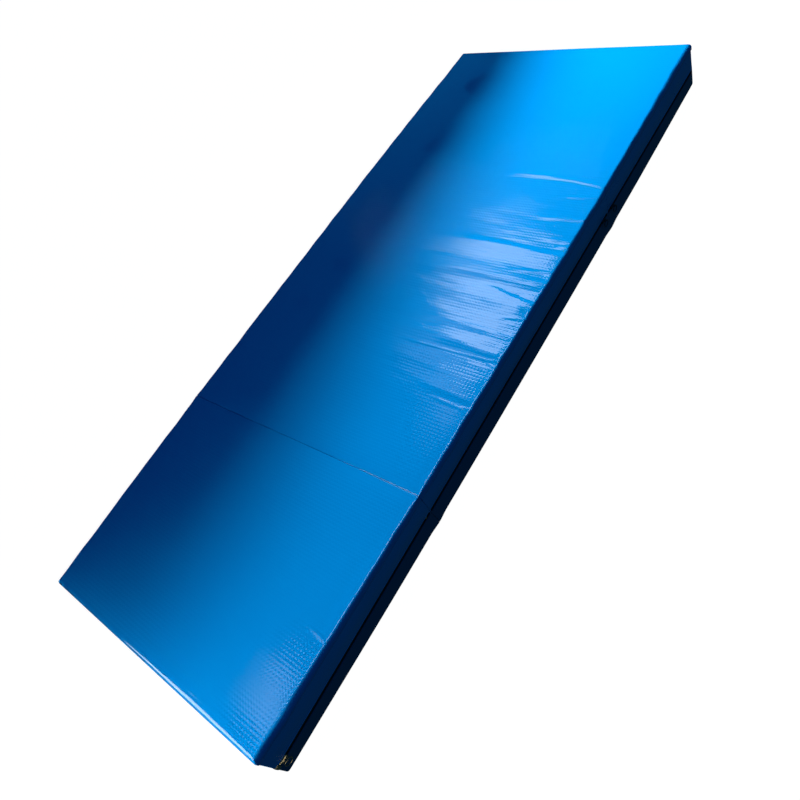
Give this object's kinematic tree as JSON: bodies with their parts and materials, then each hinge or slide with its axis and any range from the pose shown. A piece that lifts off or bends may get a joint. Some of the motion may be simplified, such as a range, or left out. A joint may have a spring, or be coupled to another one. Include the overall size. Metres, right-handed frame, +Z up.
{
  "type": "folding gym mat",
  "caption": "Folding foam gym mat in glossy blue coated fabric, with flat panels that fold flat on each other and a zip along one side wall.",
  "frame": {"origin": "middle of the mat's underside, lying flat on a floor", "axes": "+X along the mat towards the far end panel, -Y towards the side wall with the zips, +Z up"},
  "size_m": [1.85, 0.6991, 0.118],
  "materials": {
    "vinyl": "glossy PVC coating over a visible weave",
    "base_vinyl": "satin PVC coating over a visible weave, darker than the top",
    "hinge_fabric": "semi-gloss coated fabric",
    "foam": "open-cell foam, matt",
    "zip_tape": "matt woven tape",
    "zip_teeth": "satin moulded teeth",
    "brass": "dull, rubbed",
    "black_metal": "black enamel"
  },
  "bodies": {
    "middle_panel": {"middle_foam_core": "foam", "middle_upper_cover": "vinyl", "middle_lower_cover": "base_vinyl", "middle_zip_upper_tape": "zip_tape", "middle_zip_lower_tape": "zip_tape", "middle_zip_chain": "zip_teeth", "middle_zip_near_stop": "black_metal", "middle_zip_far_stop": "black_metal", "near_fold_hinge_leaf_on_middle": "hinge_fabric", "far_fold_hinge_leaf_on_middle": "hinge_fabric"},
    "near_panel": {"near_foam_core": "foam", "near_upper_cover": "vinyl", "near_lower_cover": "base_vinyl", "near_zip_upper_tape": "zip_tape", "near_zip_lower_tape": "zip_tape", "near_zip_chain": "zip_teeth", "near_zip_near_stop": "brass", "near_zip_far_stop": "brass", "near_fold_hinge_leaf_on_near": "hinge_fabric"},
    "far_panel": {"far_foam_core": "foam", "far_upper_cover": "vinyl", "far_lower_cover": "base_vinyl", "far_zip_upper_tape": "zip_tape", "far_zip_lower_tape": "zip_tape", "far_zip_chain": "zip_teeth", "far_zip_near_stop": "black_metal", "far_zip_far_stop": "black_metal", "far_fold_hinge_leaf_on_far": "hinge_fabric"},
    "near_slider": {"near_zip_slider": "brass"},
    "near_ring": {"near_zip_ring": "brass"},
    "middle_slider": {"middle_zip_slider": "black_metal"},
    "middle_ring": {"middle_zip_ring": "black_metal"},
    "far_slider": {"far_zip_slider": "black_metal"},
    "far_ring": {"far_zip_ring": "black_metal"}
  },
  "joints": [
    {"name": "near_fold", "type": "hinge", "parent": "middle_panel", "child": "near_panel", "pos_m": [-0.407, 0, -0.003], "axis": [0, -1, 0], "range_deg": [0, 180]},
    {"name": "far_fold", "type": "hinge", "parent": "middle_panel", "child": "far_panel", "pos_m": [0.407, 0, 0.121], "axis": [0, -1, 0], "range_deg": [0, 180]},
    {"name": "near_zip_slide", "type": "slide", "parent": "near_panel", "child": "near_slider", "axis": [1, 0, 0], "range_m": [0, 0.47]},
    {"name": "near_ring_swing", "type": "hinge", "parent": "near_slider", "child": "near_ring", "pos_m": [-0.903, -0.3515, 0.046], "axis": [-1, 0, 0], "range_deg": [-15, 150]},
    {"name": "middle_zip_slide", "type": "slide", "parent": "middle_panel", "child": "middle_slider", "axis": [-1, 0, 0], "range_m": [0, 0.76]},
    {"name": "middle_ring_swing", "type": "hinge", "parent": "middle_slider", "child": "middle_ring", "pos_m": [0.383, -0.3515, 0.046], "axis": [-1, 0, 0], "range_deg": [-15, 150]},
    {"name": "far_zip_slide", "type": "slide", "parent": "far_panel", "child": "far_slider", "axis": [1, 0, 0], "range_m": [0, 0.47]},
    {"name": "far_ring_swing", "type": "hinge", "parent": "far_slider", "child": "far_ring", "pos_m": [0.431, -0.3515, 0.046], "axis": [-1, 0, 0], "range_deg": [-15, 150]}
  ]
}
